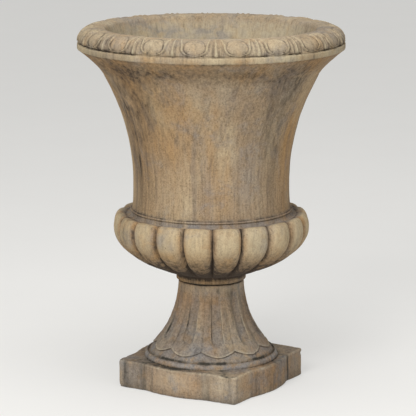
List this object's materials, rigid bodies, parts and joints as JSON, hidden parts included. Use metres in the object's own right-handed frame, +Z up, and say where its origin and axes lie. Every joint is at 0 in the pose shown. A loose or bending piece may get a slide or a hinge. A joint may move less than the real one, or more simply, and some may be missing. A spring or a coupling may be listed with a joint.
{
  "type": "urn planter",
  "caption": "Cast-stone garden urn with an egg-and-dart rim, flared bell, gadrooned belly, drained bowl and fluted pedestal on a square plinth with bowed sides.",
  "frame": {"origin": "centre of the plinth's underside, on the ground", "axes": "+Z up along the urn's axis, X and Y square to the plinth's sides"},
  "size_m": [0.539, 0.539, 0.7369],
  "materials": {
    "bowl_stone": "weathered cast stone, sandy tan with ochre and grey-brown patina",
    "pedestal_stone": "weathered cast stone, greyer, with blue-grey patina",
    "mortar": "dark bedding mortar",
    "drain_plastic": "dark grey plastic tube",
    "stainless": "plain stainless rod"
  },
  "bodies": {
    "root": {"bowl": "bowl_stone", "pedestal": "pedestal_stone", "bedding_ring": "mortar", "drain_sleeve": "drain_plastic", "dowel_1": "stainless", "dowel_2": "stainless", "dowel_3": "stainless", "dowel_4": "stainless"}
  },
  "joints": []
}
